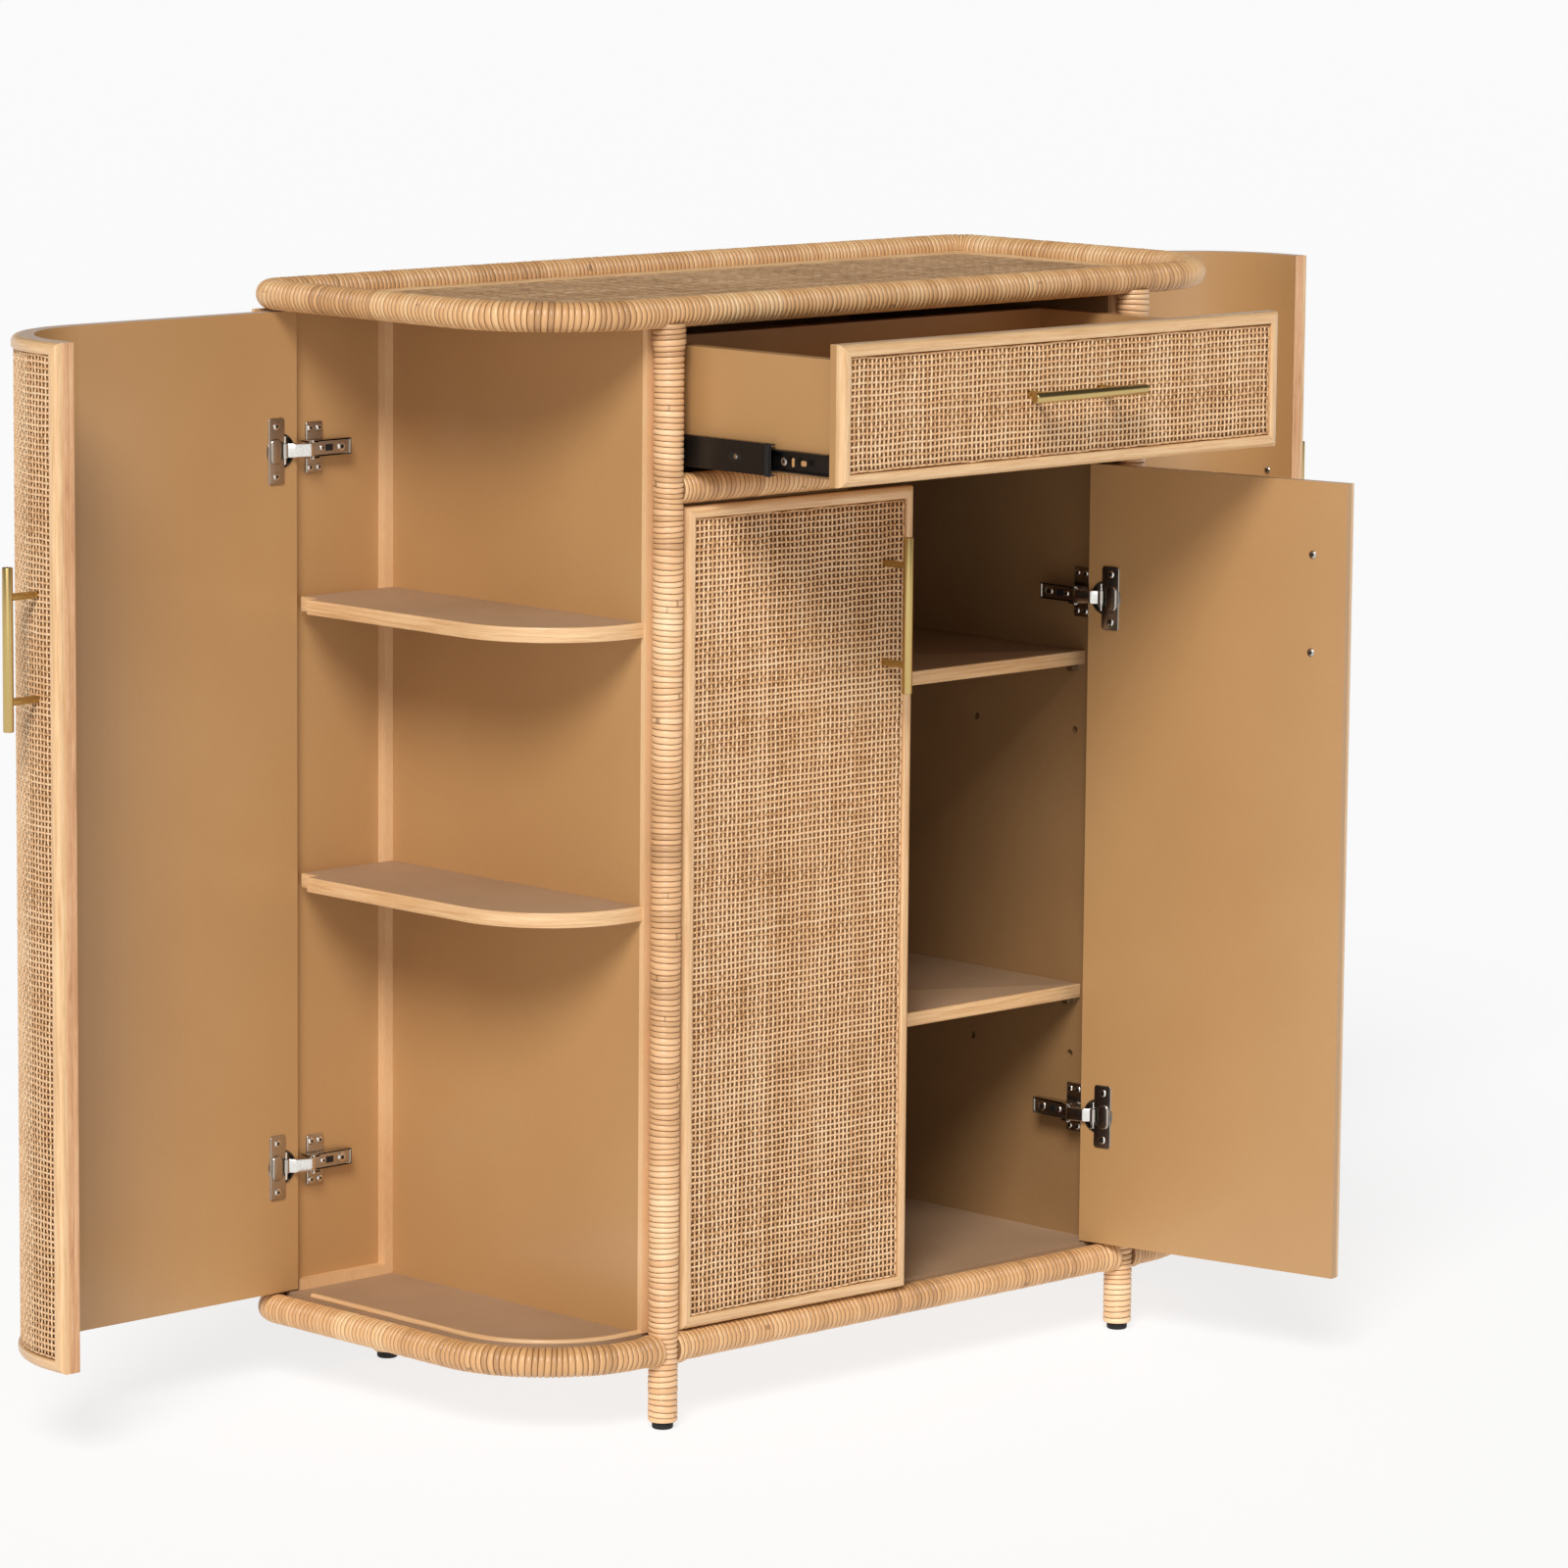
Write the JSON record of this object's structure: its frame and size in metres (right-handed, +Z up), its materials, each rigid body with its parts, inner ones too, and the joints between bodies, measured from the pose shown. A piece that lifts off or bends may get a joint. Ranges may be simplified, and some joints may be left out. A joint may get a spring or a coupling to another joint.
{
  "type": "shoe cabinet",
  "caption": "Shoe cabinet with a wrapped rattan pole frame, cane-faced front doors, a wide drawer and tall curved doors that wrap round both ends.",
  "frame": {"origin": "centre of the bounding box on the floor, with the doors and the drawer in the open pose the cabinet is stored in", "axes": "+X along the front to the right, +Y to the back, +Z up"},
  "size_m": [1.7646, 0.6823, 1.076],
  "materials": {
    "rattan": "split rattan wound round poles, clear lacquer",
    "cane": "open woven cane webbing on stained board, lacquered",
    "woven_panel": "close herringbone weave of split rattan, lacquered",
    "trim_wood": "solid wood, honey lacquer",
    "board": "veneered plywood, satin lacquer",
    "shelf_board": "faced board, matt, with wooden edge band",
    "brass": "satin brass",
    "nickel": "nickel plated steel",
    "slide_steel": "black, semi-gloss",
    "rubber": "matt"
  },
  "bodies": {
    "cabinet": {"left_front_post": "rattan", "right_front_post": "rattan", "left_rear_post": "rattan", "right_rear_post": "rattan", "top_rim": "rattan", "top_back_rail": "rattan", "floor_front_rail": "rattan", "left_floor_rim": "rattan", "right_floor_rim": "rattan", "floor_back_rail": "rattan", "middle_rail": "rattan", "foot_caps": "rubber", "bottom_board": "board", "top_board": "board", "top_weave": "woven_panel", "top_bead": "trim_wood", "left_divider": "board", "right_divider": "board", "inner_sides": "board", "middle_back_panel": "board", "left_end_back_panel": "board", "right_end_back_panel": "board", "edge_strips": "trim_wood", "drawer_deck": "board", "upper_shelf": "shelf_board", "lower_shelf": "shelf_board", "left_end_shelves": "shelf_board", "right_end_shelves": "shelf_board", "shelf_pins": "nickel", "front_hinge_arms": "nickel", "end_hinge_arms": "nickel", "slide_rails": "slide_steel"},
    "left_front_door": {"left_front_door_board": "board", "left_front_door_frame": "trim_wood", "left_front_door_cane": "cane", "left_front_door_handle": "brass", "left_front_door_hinge_cups": "nickel"},
    "right_front_door": {"right_front_door_board": "board", "right_front_door_frame": "trim_wood", "right_front_door_cane": "cane", "right_front_door_handle": "brass", "right_front_door_hinge_cups": "nickel"},
    "left_end_door": {"left_end_door_board": "board", "left_end_door_frame": "trim_wood", "left_end_door_cane": "cane", "left_end_door_handle": "brass", "left_end_door_hinge_cups": "nickel"},
    "right_end_door": {"right_end_door_board": "board", "right_end_door_frame": "trim_wood", "right_end_door_cane": "cane", "right_end_door_handle": "brass", "right_end_door_hinge_cups": "nickel"},
    "drawer": {"drawer_front_board": "board", "drawer_front_frame": "trim_wood", "drawer_front_cane": "cane", "drawer_box_walls": "board", "drawer_bottom": "board", "drawer_handle": "brass", "slide_inners": "slide_steel"},
    "slide_middles": {"slide_middles": "slide_steel"}
  },
  "joints": [
    {"name": "left_front_door_hinge", "type": "hinge", "parent": "cabinet", "child": "left_front_door", "pos_m": [-0.2832, -0.06435, 0.5], "axis": [0, 0, -1], "range_deg": [-1.4, 100.6]},
    {"name": "right_front_door_hinge", "type": "hinge", "parent": "cabinet", "child": "right_front_door", "pos_m": [0.2832, -0.06435, 0.5], "axis": [0, 0, 1], "range_deg": [-100.8, 1.2]},
    {"name": "left_end_door_hinge", "type": "hinge", "parent": "cabinet", "child": "left_end_door", "pos_m": [-0.464, 0.30515, 0.5], "axis": [0, 0, -1], "range_deg": [-89.6, 7.4]},
    {"name": "right_end_door_hinge", "type": "hinge", "parent": "cabinet", "child": "right_end_door", "pos_m": [0.464, 0.30515, 0.5], "axis": [0, 0, 1], "range_deg": [-89.6, 7.4]},
    {"name": "drawer_slide", "type": "slide", "parent": "cabinet", "child": "drawer", "axis": [0, -1, 0], "range_m": [-0.204, 0.07]},
    {"name": "slide_middles_slide", "type": "slide", "parent": "cabinet", "child": "slide_middles", "axis": [0, -1, 0], "range_m": [-0.1326, 0.0455]}
  ],
  "couplings": [
    {"joint": "slide_middles_slide", "follows": "drawer_slide", "ratio": 0.65}
  ]
}
